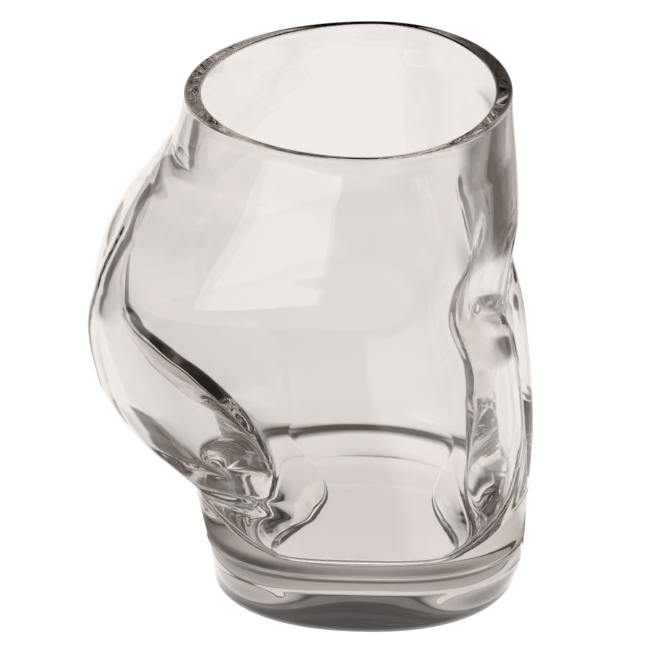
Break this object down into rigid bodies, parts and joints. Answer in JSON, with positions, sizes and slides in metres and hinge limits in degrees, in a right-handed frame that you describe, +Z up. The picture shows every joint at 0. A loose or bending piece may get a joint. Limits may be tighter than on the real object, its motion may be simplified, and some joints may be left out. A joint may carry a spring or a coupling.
{
  "type": "drinking glass",
  "caption": "Clear novelty tumbler moulded as a torso from waist to thighs, with a rounded seat, a flat-topped rim and a thick solid foot, for holding a drink.",
  "frame": {"origin": "middle of the flat underside of the foot, on the surface the glass stands on", "axes": "+Z up out of the mouth, +X towards the belly with the seat towards -X, and the left and right halves mirrored in the XZ plane"},
  "size_m": [0.0916, 0.096, 0.11],
  "materials": {
    "clear_glass": "clear, colourless, glossy moulded glass with a fire-polished rim"
  },
  "bodies": {
    "root": {"foot": "clear_glass", "rear_wall": "clear_glass", "front_wall": "clear_glass", "rim": "clear_glass"}
  },
  "joints": []
}
